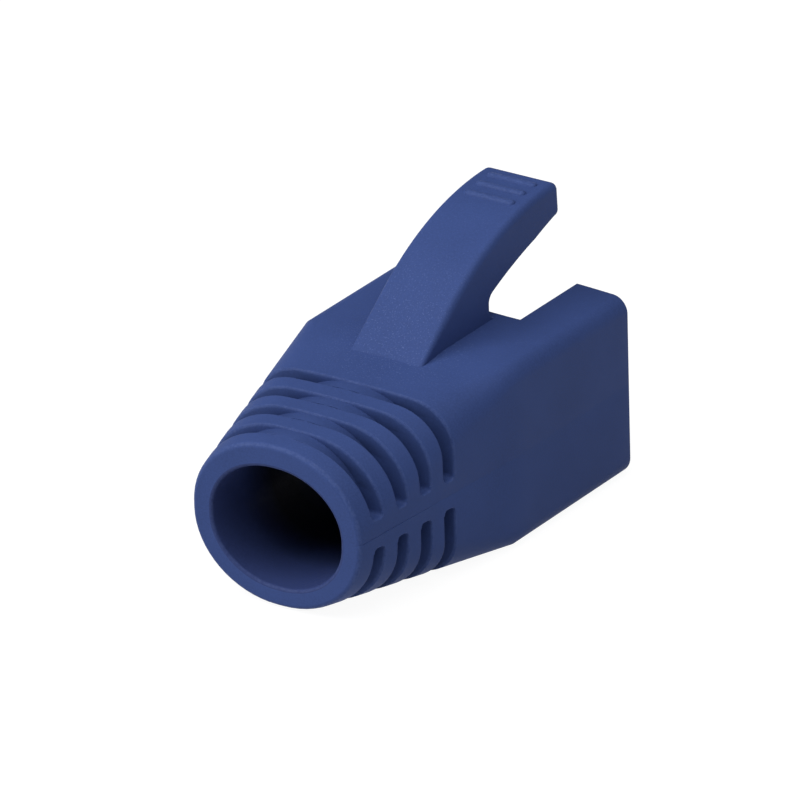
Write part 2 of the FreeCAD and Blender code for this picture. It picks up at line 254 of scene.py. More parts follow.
class SmoothSkin:
    """The uncut skin of a form, which lends its smooth normals to what is left of it.

    Its lengths are in millimetres.
    """

    def __init__(self, form: Object, sharp: float) -> None:
        """Keeps the shape and the normals of a form.

        Args:
            form: The form before anything is cut from it.
            sharp: Angle from which an edge counts as sharp, in radians.
        """
        form.data.shade_smooth()
        form.data.set_sharp_from_angle(angle=sharp)
        corners = form.data.corner_normals
        self.points = [vertex.co.copy() for vertex in form.data.vertices]
        self.faces = [tuple(face.vertices) for face in form.data.polygons]
        self.normals = [[corners[corner].vector.copy() for corner in face.loop_indices]
                        for face in form.data.polygons]
        self.tree = BVHTree.FromPolygons(self.points, self.faces)

    def touches(self, point: Vector) -> bool:
        """Tells whether a point lies on the skin."""
        return self.tree.find_nearest(point, ON_SKIN)[0] is not None

    def depth_at(self, point: Vector, reach: float) -> float:
        """Returns how deep a point is under the skin, or 0 where it isn't or is past the reach."""
        place, normal, _, apart = self.tree.find_nearest(point, reach)
        return apart if place is not None and (point - place).dot(normal) < 0 else 0.0

    def eased(self, point: Vector, reach: float) -> Vector:
        """Lifts a point that lies a little under the skin, so that shallow cuts fade out.

        Args:
            point: The point.
            reach: Depth from which points stay where they are.

        Returns:
            The point, nearer to the skin the shallower it lies.
        """
        place, normal, _, apart = self.tree.find_nearest(point, reach)
        if place is None or (point - place).dot(normal) >= 0:
            return point
        share = apart / reach
        return place + (point - place) * share * share * (3 - 2 * share)

    def lean_at(self, point: Vector, facing: Vector, reach: float) -> float:
        """Finds how far a point's normal leans from the skin above it.

        Args:
            point: The point.
            facing: Normal at the point.
            reach: How far under the skin the point may lie.

        Returns:
            The angle in radians, or 0 where the point is on the skin or too deep.
        """
        place, normal, _, apart = self.tree.find_nearest(point, reach)
        if place is None or apart < ON_SKIN:
            return 0.0
        return normal.angle(facing, 0.0)

    def normal_at(self, point: Vector, centre: Vector, facing: Vector,
                  most: float) -> Vector | None:
        """Finds the skin's normal at the corner of a face.

        Args:
            point: The corner.
            centre: Middle of the face.
            facing: Normal of the face.
            most: Largest angle between the two normals, in radians.

        Returns:
            The normal, or None where the point isn't on the skin or faces elsewhere.
        """
        if not self.touches(point):
            return None
        inward = centre - point
        inward *= min(1.0, NUDGE / max(inward.length, NUDGE))
        place, _, number, _ = self.tree.find_nearest(point + inward)
        face = self.faces[number]
        # The two flat ends of the form lend nothing; all other faces have four corners
        if len(face) > 4:
            return None
        shares = poly_3d_calc([self.points[corner] for corner in face], place)
        normal = sum((normal * share for normal, share in zip(self.normals[number], shares)),
                     Vector()).normalized()
        return normal if normal.angle(facing, math.pi) < most else None


class Joining(Enum):
    """How a group of solids acts on the form before it."""

    ADD = "UNION"
    CUT = "DIFFERENCE"


def combine(base: Object, groups: list[tuple[Joining, list[Object]]]) -> Mesh:
    """Adds solids to a base and cuts others from it.

    Args:
        base: The first solid.
        groups: Solids in the order in which they act, with how they act.

    Returns:
        The mesh of the result. The solids are removed.
    """
    used = [base]
    collections = []
    for joining, solids in groups:
        collection = bpy.data.collections.new(joining.name)
        bpy.context.scene.collection.children.link(collection)
        for solid in solids:
            collection.objects.link(solid)
        modifier = base.modifiers.new(joining.name, "BOOLEAN")
        modifier.operation = joining.value
        modifier.operand_type = "COLLECTION"
        modifier.collection = collection
        modifier.solver = "EXACT"
        used += solids
        collections.append(collection)
    bpy.context.view_layer.update()
    result = bpy.data.meshes.new_from_object(
        base.evaluated_get(bpy.context.evaluated_depsgraph_get()))
    for solid in used:
        bpy.data.objects.remove(solid)
    for collection in collections:
        bpy.data.collections.remove(collection)
    return result


# The boot's forms


@dataclass
class OuterForm:
    """The boot's outside, from the oval mouth to the square sleeve."""

    taper_length: float = 13.0
    body_length: float = 24.24
    body_half: float = 7.0
    body_height: float = 10.9
    corner_radius: float = 1.0
    roof_crown: float = 0.18
    mouth_half: float = 5.5
    mouth_height: float = 9.53
    mouth_rise: float = 0.13
    mouth_flat: float = 0.15
    mouth_rounding: float = 0.24
    end_rounding: float = 0.15
    seam_mouth: float = 5.06
    seam_sleeve: float = 5.5
    seam_depth: float = 0.03
    seam_faint: float = 0.006
    first_ring: float = 1.0
    taper_rings: int = 12
    sleeve_rings: tuple[float, float, int] = (14.0, 23.0, 9)

    @property
    def plug_end(self) -> float:
        """Place of the plug end along Y."""
        return MOUTH_Y + self.body_length

    def outline(self, station: float, inset: float = 0.0) -> Outline:
        """Works out the outline at a distance from the mouth.

        Args:
            station: The distance from the mouth.
            inset: How far the outline is drawn in.

        Returns:
            The outline.
        """
        share = min(max(station / self.taper_length, 0.0), 1.0)
        return Outline(
            half=mix(self.mouth_half, self.body_half, share) - inset,
            low=mix(self.mouth_rise, 0.0, share) + inset,
            high=mix(self.mouth_rise + self.mouth_height, self.body_height, share) - inset,
            round_x=mix(self.mouth_half - self.mouth_flat, self.corner_radius, share) - inset,
            round_z=mix(self.mouth_height / 2 - self.mouth_flat, self.corner_radius,
                        share) - inset,
            slope=2 * math.atan(self.roof_crown / self.body_half),
            seam_z=mix(self.seam_mouth, self.seam_sleeve, share),
            seam_depth=mix(self.seam_depth, self.seam_faint, share))

    def build(self) -> Object:
        """Builds the outside.

        Returns:
            One closed form.
        """
        places = rounding(self.mouth_rounding)
        places += [(station, 0.0) for station in (
            steps(self.first_ring, self.taper_length, self.taper_rings)
            + steps(*self.sleeve_rings))]
        places += [(self.body_length - along, inset)
                   for along, inset in reversed(rounding(self.end_rounding))]
        return loft("outer_form", [self.outline(station, inset).ring(MOUTH_Y + station)
                                   for station, inset in places])


@dataclass
class Grooves:
    """The grooves that let the collar bend, four over and four under the side bands."""

    form: OuterForm
    count: int = 4
    start: float = 1.2
    width: float = 0.85
    pitch: float = 1.92
    depth: float = 0.9
    shallow: float = 0.015
    rim: float = 0.19
    rim_turn: float = 1.25
    rim_exit: float = 0.03
    rim_steps: int = 4
    end_corner: float = 0.24
    band_height: float = 1.73
    band_mouth: float = 5.2
    band_sleeve: float = 5.42
    clearance: float = 1.2

    @property
    def span(self) -> Pair:
        """Where the grooves and their lips begin and end, as distances from the mouth."""
        return (self.start - self.rim * 2,
                self.start + self.pitch * (self.count - 1) + self.width + self.rim * 2)

    def floor(self, station: float) -> Outline:
        """Works out the floor of a groove.

        Args:
            station: The groove's distance from the mouth.

        Returns:
            The floor's outline.
        """
        form = self.form
        share = station / form.taper_length
        half = mix(form.mouth_half, form.body_half, share) - self.depth
        low = mix(form.mouth_rise, 0.0, share) + self.shallow
        high = mix(form.mouth_rise + form.mouth_height, form.body_height, share) - self.shallow
        return Outline(half, low, high, half - form.mouth_flat,
                       (high - low) / 2 - form.mouth_flat)

    def flare(self, radius: float) -> list[Pair]:
        """Works out steps over a rounded lip.

        Args:
            radius: The lip's radius.

        Returns:
            How far along and how far drawn in each step is. The last leaves the surface.
        """
        arc = [(radius * (1 - math.cos(angle)), radius * (1 - math.sin(angle)))
               for angle in steps(0, self.rim_turn, self.rim_steps)]
        along, inset = arc[-1]
        climb = inset + self.rim_exit
        return arc + [(along + climb * math.tan(self.rim_turn), -self.rim_exit)]

    def levels(self, number: int) -> list[tuple[float, float, float, Outline]]:
        """Lists a groove's sections along the boot.

        Args:
            number: Which groove, counted from the mouth.

        Returns:
            For each section its station, how far its ends are drawn in, the radius
            of its lip, and the outline of its bottom.
        """
        front = self.start + self.pitch * number
        back = front + self.width
        half = [(-along, self.end_corner, max(inset, 0.0), inset)
                for along, inset in reversed(self.flare(self.rim))]
        half += [(along, drawn, self.rim, None) for along, drawn in rounding(self.end_corner)]
        places = [(front + along, *rest) for along, *rest in half]
        places += [(back - along, *rest) for along, *rest in reversed(half)]
        return [(station, drawn, radius,
                 self.floor(front) if inset is None else self.form.outline(station, inset))
                for station, drawn, radius, inset in places]

    def outermost(self, first: Pair, second: Pair) -> Pair:
        """Returns whichever of two points stands further from the boot's middle."""
        middle = self.form.mouth_rise + self.form.mouth_height / 2
        return max(first, second, key=lambda point: math.hypot(point[0], point[1] - middle))

    def cutter(self, number: int, over: bool) -> Object:
        """Makes the solid that cuts one half of a groove.

        Args:
            number: Which groove, counted from the mouth.
            over: Whether it is the half over the side bands.

        Returns:
            The cutting solid.
        """
        rings = []
        away = 1 if over else -1
        floors = self.floor(self.start + self.pitch * number)
        for station, drawn, radius, bottom in self.levels(number):
            middle = mix(self.band_mouth, self.band_sleeve, station / self.form.taper_length)
            end = middle + away * (self.band_height / 2 + drawn)
            surface = self.form.outline(station)
            wide = self.form.outline(station, -self.clearance)
            lip = [(surface.width_at(end) - inset, end - away * along)
                   for along, inset in self.flare(radius)]
            inner = [self.outermost(first, second) for first, second
                     in zip(bottom.part(end, over), floors.part(end, over))]
            outer = wide.part(lip[-1][1], over)
            points = inner + mirrored(lip)[::-1] + outer[::-1] + lip[::-1]
            rings.append([Vector((x, MOUTH_Y + station, z)) for x, z in points])
        side = "over" if over else "under"
        return loft(f"groove_{side}_{number}", rings)

    def build(self) -> list[Object]:
        """Builds the cutting solids of every groove."""
        return [self.cutter(number, over) for number in range(self.count)
                for over in (True, False)]


@dataclass
class Hollow:
    """The inside: oval bore, funnel and plug socket, and the latch notch in the roof."""

    form: OuterForm
    bore_half: float = 4.21
    bore_height: float = 7.02
    bore_floor: float = 1.29
    bore_length: float = 2.8
    bore_rounding: float = 0.2
    funnel_corner: float = 2.6
    socket_half: float = 5.95
    socket_height: float = 8.5
    socket_floor: float = 1.05
    socket_corner: float = 0.45
    socket_rounding: float = 0.1
    shoulder: float = 0.6
    notch_half: float = 3.64
    notch_length: float = 5.7
    notch_rounding: float = 0.1
    overrun: float = 1.0
    overlap: float = 0.4
    funnel_steps: int = 8

    def bore(self, outset: float = 0.0) -> Outline:
        """Returns the bore's outline, widened by an outset."""
        flat = self.form.mouth_flat
        return Outline(self.bore_half + outset, self.bore_floor - outset,
                       self.bore_floor + self.bore_height + outset,
                       self.bore_half - flat + outset, self.bore_height / 2 - flat + outset)

    def funnel(self, share: float) -> Outline:
        """Works out the funnel between the bore and the shoulder.

        Args:
            share: How far on its way the outline is, from 0 to 1.

        Returns:
            The outline.
        """
        bore = self.bore()
        ceiling = self.socket_floor + self.socket_height
        return Outline(mix(bore.half, self.socket_half - self.shoulder, share),
                       mix(bore.low, self.socket_floor + self.shoulder, share),
                       mix(bore.high, ceiling - self.shoulder, share),
                       mix(bore.round_x, self.funnel_corner, share),
                       mix(bore.round_z, self.funnel_corner, share))

    def socket(self, outset: float = 0.0) -> Outline:
        """Returns the plug socket's outline, widened by an outset."""
        corner = self.socket_corner + outset
        return Outline(self.socket_half + outset, self.socket_floor - outset,
                       self.socket_floor + self.socket_height + outset, corner, corner)

    def passage(self) -> Object:
        """Makes the bore and the funnel.

        Returns:
            The cutting solid.
        """
        end = self.form.taper_length + self.overlap
        rings = [self.bore(self.bore_rounding).ring(MOUTH_Y - self.overrun)]
        rings += [self.bore(outset).ring(MOUTH_Y + along)
                  for along, outset in rounding(self.bore_rounding)]
        rings += [self.funnel(share).ring(MOUTH_Y + mix(self.bore_length, end, share))
                  for share in steps(0, 1, self.funnel_steps)]
        return loft("passage", rings)

    def plug_socket(self) -> Object:
        """Makes the plug socket, with its rim flared.

        Returns:
            The cutting solid.
        """
        places = [(self.form.taper_length, 0.0)]
        places += [(self.form.body_length - along, outset)
                   for along, outset in reversed(rounding(self.socket_rounding))]
        places.append((self.form.body_length + self.overrun, self.socket_rounding))
        return loft("plug_socket", [self.socket(outset).ring(MOUTH_Y + station)
                                    for station, outset in places])

    def notch(self) -> Object:
        """Makes the latch notch, its upper edges rounded.

        Returns:
            The cutting solid.
        """
        roof = self.form.outline(self.form.body_length)
        edge = roof.high - self.form.roof_crown * (self.notch_half / roof.half) ** 2
        back = self.form.plug_end - self.notch_length
        end = self.form.plug_end + self.overrun
        levels = [(self.form.body_height - 2 * self.overrun, 0.0)]
        levels += [(edge - along, outset)
                   for along, outset in reversed(rounding(self.notch_rounding))]
        levels.append((self.form.body_height + self.overrun, self.notch_rounding))
        rings = []
        for height, outset in levels:
            half = self.notch_half + outset
            corners = [(-half, back - outset), (half, back - outset), (half, end), (-half, end)]
            rings.append([Vector((x, y, height)) for x, y in corners])
        return loft("notch", rings)

    def build(self) -> list[Object]:
        """Builds the cutting solids of the inside."""
        return [self.passage(), self.plug_socket(), self.notch()]


@dataclass
class Tongue:
    """The latch guard: a curved tongue on a web, with grip bars near its tip."""

    form: OuterForm
    width: float = 4.76
    rise: float = 5.63
    reach: float = 0.27
    upper_radius: float = 17.2
    slope_degrees: float = 38.2
    tip_flat: float = 0.33
    tip_thickness: float = 1.97
    tip_lean: float = 0.12
    under_radius: float = 27.4
    under_centre: float = 4.8
    notch_length: float = 5.7
    web_setback: float = 1.09
    throat_radius: float = 0.65
    flare_radius: float = 0.7
    foot_sink: float = 0.05
    root_depth: float = 0.8
    soft_radius: float = 0.38
    cap_inset: float = 0.41
    root_softness: float = 0.4
    under_softness: float = 0.2
    tip_radius: float = 0.42
    softening: int = 8
    curve_steps: int = 28
    slope_steps: int = 6
    throat_steps: int = 10
    flare_steps: int = 8
    tip_skip: int = 2
    bar_count: int = 3
    bar_length: float = 3.3
    bar_start: float = 1.1
    bar_pitch: float = 1.1
    bar_radius: float = 0.32
    bar_height: float = 0.14
    bar_rounding: float = 0.25
    bar_sides: int = 32

    @property
    def tip(self) -> Vector:
        """Upper edge of the tip, as y and z."""
        return Vector((self.form.plug_end + self.reach, self.form.body_height + self.rise))

    @property
    def upper_centre(self) -> Vector:
        """Centre of the upper curve, as y and z."""
        return self.tip - Vector((self.tip_flat, self.upper_radius))

    @staticmethod
    def arc(centre: Vector, start: Vector, end: Vector, count: int) -> list[Vector]:
        """Works out the shorter arc round a centre.

        Args:
            centre: The centre.
            start: Where the arc starts.
            end: A point in the direction in which it ends.
            count: How many steps it has.

        Returns:
            Its points, both ends included.
        """
        first = math.atan2(start.y - centre.y, start.x - centre.x)
        last = math.atan2(end.y - centre.y, end.x - centre.x)
        turn = (last - first + math.pi) % (2 * math.pi) - math.pi
        radius = (start - centre).length
        return [centre + radius * Vector((math.cos(first + turn * share),
                                          math.sin(first + turn * share)))
                for share in steps(0, 1, count)]

    @staticmethod
    def corner(before: Vector, point: Vector, after: Vector, radius: float,
               count: int = 6) -> list[Vector]:
        """Returns an arc in place of a profile corner.

        Args:
            before: A point on the straight side that comes in.
            point: The corner.
            after: A point on the straight side that goes out.
            radius: Radius of the arc.
            count: How many steps it has.

        Returns:
            The arc's points.
        """
        back = (before - point).normalized()
        on = (after - point).normalized()
        half = back.angle(on) / 2
        centre = point + (back + on).normalized() * radius / math.sin(half)
        reach = radius / math.tan(half)
        return Tongue.arc(centre, point + back * reach, point + on * reach, count)

    def profile(self) -> list[tuple[Vector, float]]:
        """Works out the tongue's side profile.

        Returns:
            Its points as y and z, from the root's front over the top, each with how
            soft the long edge is there, as a share of the soft radius.
        """
        form = self.form
        tilt = math.radians(self.slope_degrees)
        web_y = form.plug_end - self.notch_length - self.web_setback
        foot_z = form.body_height - self.foot_sink
        root_z = form.body_height - self.root_depth
        tip_top = self.tip
        tip_low = tip_top + Vector((self.tip_lean, -self.tip_thickness))
        crest = tip_top - Vector((self.tip_flat, 0))
        centre = self.upper_centre
        slope_top = centre + self.upper_radius * Vector((-math.sin(tilt), math.cos(tilt)))
        root_front = Vector((slope_top.x - (slope_top.y - root_z) / math.tan(tilt), root_z))
        lower_x = tip_top.x + self.under_centre
        drop = math.sqrt(self.under_radius ** 2 - (lower_x - tip_low.x) ** 2)
        lower_centre = Vector((lower_x, tip_low.y - drop))
        throat_x = web_y + self.throat_radius
        lift = math.sqrt((self.under_radius - self.throat_radius) ** 2
                         - (lower_x - throat_x) ** 2)
        throat = Vector((throat_x, lower_centre.y + lift))
        throat_top = lower_centre + (throat - lower_centre).normalized() * self.under_radius
        flare = Vector((web_y + self.flare_radius, foot_z + self.flare_radius))
        under = self.arc(lower_centre, tip_low, throat_top, self.curve_steps)
        slope = [(root_front + (slope_top - root_front) * share,
                  mix(self.root_softness, 1.0, share))
                 for share in steps(0, 1, self.slope_steps)]
        upper = self.arc(centre, slope_top, crest, self.curve_steps)[1:]
        tip = self.corner(crest, tip_top, tip_low, self.tip_radius)
        tip += self.corner(tip_top, tip_low, under[self.tip_skip], self.tip_radius)
        inner = self.arc(throat, throat_top, Vector((web_y, throat.y)), self.throat_steps)[1:]
        inner += self.arc(flare, Vector((web_y, flare.y)), Vector((flare.x, foot_z)),
                          self.flare_steps)
        inner.append(Vector((flare.x, root_z)))
        fading = [(point, mix(1.0, self.under_softness, min(1.0, number / self.softening)))
                  for number, point in enumerate(under[self.tip_skip:])]
        return (slope + [(point, 1.0) for point in upper[:-1] + tip] + fading
                + [(point, self.under_softness) for point in inner])

    def blade(self) -> Object:
        """Makes the tongue and its web, with soft upper edges and a soft tip.

        Returns:
            The closed form.
        """
        points = self.profile()
        count = len(points)
        inward = []
        for number in range(count):
            along = points[(number + 1) % count][0] - points[number - 1][0]
            inward.append(Vector((along.y, -along.x)).normalized())
        half = self.width / 2
        over_edge = [(0.0, self.cap_inset)] + rounding(self.soft_radius)
        levels = [(-1, *step) for step in over_edge]
        levels += [(1, *step) for step in reversed(over_edge)]
        rings = []
        for side, along, inset in levels:
            ring = []
            for (point, softness), normal in zip(points, inward):
                place = point + normal * inset * softness
                ring.append(Vector((side * (half - along * softness), place.x, place.y)))
            rings.append(ring)
        return loft("tongue", rings)

    def bar(self, number: int) -> Object:
        """Makes one grip bar: a rod across the tongue with rounded ends.

        Args:
            number: Which bar, counted from the tip.

        Returns:
            The closed form.
        """
        along = self.bar_start + number * self.bar_pitch - self.tip_flat
        turn = along / self.upper_radius
        reach = self.upper_radius + self.bar_height - self.bar_radius
        middle = self.upper_centre + reach * Vector((-math.sin(turn), math.cos(turn)))
        ends = [(self.bar_length / 2 - along, self.bar_radius - inset)
                for along, inset in rounding(self.bar_rounding)]
        levels = [(-x, radius) for x, radius in ends] + list(reversed(ends))
        rings = [[Vector((x, middle.x + radius * math.cos(angle),
                          middle.y + radius * math.sin(angle)))
                  for angle in steps(0, 2 * math.pi, self.bar_sides)[:-1]] for x, radius in levels]
        return loft(f"grip_bar_{number + 1}", rings)

    def build(self) -> list[Object]:
        """Builds the tongue and its grip bars."""
        return [self.blade()] + [self.bar(number) for number in range(self.bar_count)]


# Finishes


def group(name: str, inputs: dict[str, float], outputs: tuple[str, ...]) -> NodeTree:
    """Starts a shader node group with named sockets.

    Args:
        name: Name of the group.
        inputs: Its number inputs, with their defaults.
        outputs: Its number outputs.

    Returns:
        The group, holding its input and output nodes.
    """
    tree = bpy.data.node_groups.new(name, "ShaderNodeTree")
    for label, default in inputs.items():
        socket = tree.interface.new_socket(label, in_out="INPUT", socket_type="NodeSocketFloat")
        socket.default_value = default
    for label in outputs:
        tree.interface.new_socket(label, in_out="OUTPUT", socket_type="NodeSocketFloat")
    tree.nodes.new("NodeGroupInput").name = "in"
    tree.nodes.new("NodeGroupOutput").name = "out"
    return tree


def add_node(tree: NodeTree, kind: str, values: dict[str | int, object],
             **options: str) -> Node:
    """Adds a node.

    Args:
        tree: The tree that gets the node.
        kind: The node's type.
        values: Its inputs by name or number, each a value or a socket.
        options: Its other settings.

    Returns:
        The node.
    """
    node = tree.nodes.new(kind)
    for option, choice in options.items():
        setattr(node, option, choice)
    for label, value in values.items():
        if isinstance(value, NodeSocket):
            tree.links.new(value, node.inputs[label])
        else:
            node.inputs[label].default_value = value
    return node


def math_node(tree: NodeTree, operation: str, *values: object) -> NodeSocket:
    """Adds a Math node for numbers or sockets, and returns its output."""
    return add_node(tree, "ShaderNodeMath", dict(enumerate(values)),
                    operation=operation).outputs[0]


def place_in(tree: NodeTree) -> NodeSocket:
    """Returns a socket with the place in the object's own coordinates."""
    return tree.nodes.new("ShaderNodeTexCoord").outputs["Object"]


def part_of(tree: NodeTree, vector: NodeSocket, axis: str) -> NodeSocket:
    """Returns a socket with one part of a vector: X, Y or Z."""
    return add_node(tree, "ShaderNodeSeparateXYZ", {"Vector": vector}).outputs[axis]


def stored(tree: NodeTree, name: str) -> NodeSocket:
    """Returns a socket with a share that is kept with the mesh."""
    return add_node(tree, "ShaderNodeAttribute", {}, attribute_name=name).outputs["Fac"]


def noise(tree: NodeTree, scale: object, detail: float, roughness: float = 0.5) -> NodeSocket:
    """Adds a noise texture, its scale a number or a socket, and returns its value."""
    return add_node(tree, "ShaderNodeTexNoise", {
        "Vector": place_in(tree), "Scale": scale, "Detail": detail,
        "Roughness": roughness}).outputs["Fac"]


def spread(tree: NodeTree, value: NodeSocket, low: float, high: float) -> NodeSocket:
    """Stretches a value so that low becomes 0 and high becomes 1, and clamps it."""
    return add_node(tree, "ShaderNodeMapRange", {
        "Value": value, "From Min": low, "From Max": high}).outputs["Result"]


def blend(tree: NodeTree, share: NodeSocket, first: object, second: object) -> NodeSocket:
    """Blends two colours or sockets by a share of the second one."""
    return add_node(tree, "ShaderNodeMix", {"Factor": share, 6: first, 7: second},
                    data_type="RGBA").outputs[2]


def grain_group(coarser: float = 0.27, coarse_share: float = 0.6,
                speckled: Pair = (0.38, 0.62)) -> NodeTree:
    """Builds the group for the fine spark-eroded grain of the mould.

    Args:
        coarser: Scale of the coarse grain, as a share of the fine one's.
        coarse_share: Height of the coarse grain, as a share of the fine one's.
        speckled: Heights of the fine grain between which speckles come up.

    Returns:
        The group.
    """
    tree = group("mould_grain", {"Scale": 9000.0}, ("Height", "Speckle"))
    scale = tree.nodes["in"].outputs["Scale"]
    fine = noise(tree, scale, detail=2.0, roughness=0.6)
    coarse = noise(tree, math_node(tree, "MULTIPLY", scale, coarser), detail=2.0)
    both = math_node(tree, "ADD", fine, math_node(tree, "MULTIPLY", coarse, coarse_share))
    tree.links.new(both, tree.nodes["out"].inputs["Height"])
    tree.links.new(spread(tree, fine, *speckled), tree.nodes["out"].inputs["Speckle"])
    return tree


def patchy_group(name: str, attribute: str, scale: float, detail: float,
                 patches: Pair) -> NodeTree:
    """Builds a group that breaks up a share kept with the mesh.

    Args:
        name: Name of the group.
        attribute: Name of the share.
        scale: Scale of the noise that breaks it up.
        detail: How many finer layers the noise has.
        patches: Heights of the noise between which the share comes up.

    Returns:
        The group.
    """
    tree = group(name, {"Breakup": scale}, ("Mask",))
    patchy = spread(tree, noise(tree, tree.nodes["in"].outputs["Breakup"], detail), *patches)
    tree.links.new(math_node(tree, "MULTIPLY", stored(tree, attribute), patchy),
                   tree.nodes["out"].inputs["Mask"])
    return tree


def dust_group(upward: Pair = (0.35, 0.9), specks: Pair = (0.6, 0.7),
               gathered: Pair = (5.5, 1.0), least: float = 0.2) -> NodeTree:
    """Builds the group for fine pale specks that lie on upward faces.

    Args:
        upward: Upward part of the normal, from no dust to all of it.
        specks: Heights of the noise between which specks come up.
        gathered: Distance from the dust's middle, from the least dust to the most.
        least: Share of the dust that lies anywhere.

    Returns:
        The group.
    """
    tree = group("dust", {"Scale": 11000.0}, ("Mask",))
    shape = tree.nodes.new("ShaderNodeNewGeometry")
    facing = spread(tree, part_of(tree, shape.outputs["Normal"], "Z"), *upward)
    fine = spread(tree, noise(tree, tree.nodes["in"].outputs["Scale"], detail=1.0), *specks)
    apart = add_node(tree, "ShaderNodeVectorMath", {
        0: place_in(tree), 1: tuple(value * MM for value in DUST_MIDDLE)}, operation="DISTANCE")
    near = spread(tree, apart.outputs["Value"], *(reach * MM for reach in gathered))
    amount = math_node(tree, "MULTIPLY_ADD", near, 1 - least, least)
    mask = math_node(tree, "MULTIPLY", math_node(tree, "MULTIPLY", facing, fine), amount)
    tree.links.new(mask, tree.nodes["out"].inputs["Mask"])
    return tree


class Skin(Enum):
    """Which side of the mould a face was formed by."""

    OUTSIDE = 0
    INSIDE = 1


@dataclass(frozen=True)
class MouldedPlastic:
    """Finish of the soft blue moulding, with its painted shade and painted highlight."""

    name: str
    colour: Colour
    # Paler colour of rim wear with painted highlight, and of dust
    pale_wear_and_highlight: Colour
    roughness: float
    shine: float
    grain_scale: float
    grain_height: float
    dust: float
    # Painted shade in the grooves
    groove_shade: float = 0.0
    # Painted shade deep inside, between the bore and the plug socket
    deep: float = 0.0
    deep_from: Pair = (-9.3, -6.2)
    deep_to: Pair = (0.8, -4.2)
    cloud_scale: float = 260.0
    cloud_range: Pair = (0.3, 0.7)
    cloud_shades: Pair = (0.93, 1.06)
    speckle_share: float = 0.35
    speckle_shade: float = 1.3
    speckle_rough: float = 0.12
    # Tone of the painted shade in the grooves
    groove_shade_tone: float = 0.3
    # Share of rim wear with painted highlight
    wear_and_highlight_share: float = 0.2
    worn_rough: float = -0.12
    relief: float = 0.5

    def material(self, groups: dict[str, NodeTree]) -> Material:
        """Makes the material.

        Args:
            groups: The shared node groups by name.

        Returns:
            The material.
        """
        material = bpy.data.materials.new(self.name)
        material.use_nodes = True
        tree = material.node_tree
        placed = {}
        for label, content in groups.items():
            placed[label] = tree.nodes.new("ShaderNodeGroup")
            placed[label].node_tree = content
        placed["grain"].inputs["Scale"].default_value = self.grain_scale
        speckle = placed["grain"].outputs["Speckle"]
        # Mask of rim wear with painted highlight
        pale_wear_and_highlight = placed["edge"].outputs["Mask"]
        cloudy = spread(tree, noise(tree, self.cloud_scale, detail=3.0), *self.cloud_range)
        base = blend(tree, cloudy, *(self.scaled(shade) for shade in self.cloud_shades))
        for share, amount, colour in (
                (speckle, self.speckle_share, self.scaled(self.speckle_shade)),
                # Painted shade, darker deep in the grooves
                (placed["groove_shade"].outputs["Mask"], self.groove_shade, self.scaled(self.groove_shade_tone)),
                # Rim wear with painted highlight, lighter on rims, the mouth's edge and the grip
                # bars
                (pale_wear_and_highlight, self.wear_and_highlight_share, self.pale_wear_and_highlight),
                (placed["dust"].outputs["Mask"], self.dust, self.pale_wear_and_highlight)):
            base = blend(tree, math_node(tree, "MULTIPLY", share, amount), base, colour)
        # Painted shade: darker inside, between the bore and the plug socket
        if self.deep:
            base = blend(tree, self.depth(tree), base, self.scaled(1 - self.deep))
        rough = math_node(tree, "MULTIPLY_ADD", speckle, self.speckle_rough,
                          self.roughness - self.speckle_rough / 2)
        bump = add_node(tree, "ShaderNodeBump", {
            "Strength": self.relief, "Distance": self.grain_height * MM,
            "Height": placed["grain"].outputs["Height"]})
        shader = tree.nodes["Principled BSDF"]
        shader.inputs["Specular IOR Level"].default_value = self.shine
        tree.links.new(base, shader.inputs["Base Color"])
        tree.links.new(math_node(tree, "MULTIPLY_ADD", pale_wear_and_highlight, self.worn_rough, rough),
                       shader.inputs["Roughness"])
        tree.links.new(bump.outputs["Normal"], shader.inputs["Normal"])
        return material

    def depth(self, tree: NodeTree) -> NodeSocket:
        """Builds the mask of the painted shade inside, between the bore and the plug socket.

        Args:
            tree: The material's tree.

        Returns:
            The mask's socket.
        """
        along = part_of(tree, place_in(tree), "Y")
        into, before = (spread(tree, along, *(place * MM for place in places))
                        for places in (self.deep_from, self.deep_to))
        return math_node(tree, "MULTIPLY", into, before)

    def scaled(self, factor: float) -> Colour:
        """Returns the colour, lighter or darker by a factor."""
        red, green, blue, alpha = self.colour
        return red * factor, green * factor, blue * factor, alpha


